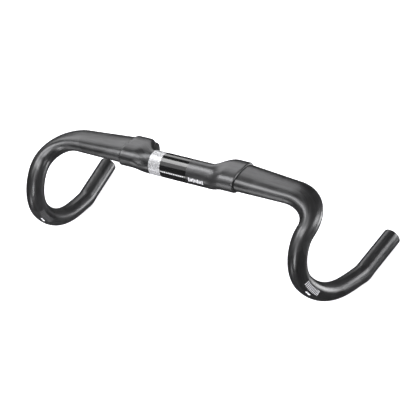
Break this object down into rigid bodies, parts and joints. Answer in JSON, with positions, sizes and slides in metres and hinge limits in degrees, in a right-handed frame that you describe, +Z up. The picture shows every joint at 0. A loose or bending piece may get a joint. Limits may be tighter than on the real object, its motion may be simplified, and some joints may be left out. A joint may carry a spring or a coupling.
{
  "type": "drop handlebar",
  "caption": "Drop bicycle handlebar in satin carbon composite with flattened tops, flared hooks and bonded shoulders.",
  "frame": {"origin": "centre of the stem clamp zone, on the bar's axis", "axes": "+X to the right of the bar along the clamp axis, +Y back towards the rider, +Z up, with the bar ends level"},
  "size_m": [0.4732, 0.1822, 0.1717],
  "materials": {
    "carbon_centre": "satin clear-coated carbon composite",
    "carbon_drop": "satin clear-coated carbon composite",
    "epoxy": "black structural epoxy",
    "silver_film": "bright brushed metallic film",
    "gloss_film": "gloss black film",
    "white_print": "white print",
    "grey_print": "grey print"
  },
  "bodies": {
    "root": {"centre_section": "carbon_centre", "drop_left": "carbon_drop", "drop_right": "carbon_drop", "bond_ring_left": "epoxy", "bond_ring_right": "epoxy", "silver_band": "silver_film", "gloss_band": "gloss_film", "centring_scale": "white_print", "lever_scale_left": "grey_print", "lever_scale_right": "grey_print", "lever_label_left": "white_print", "lever_label_right": "white_print"}
  },
  "joints": []
}
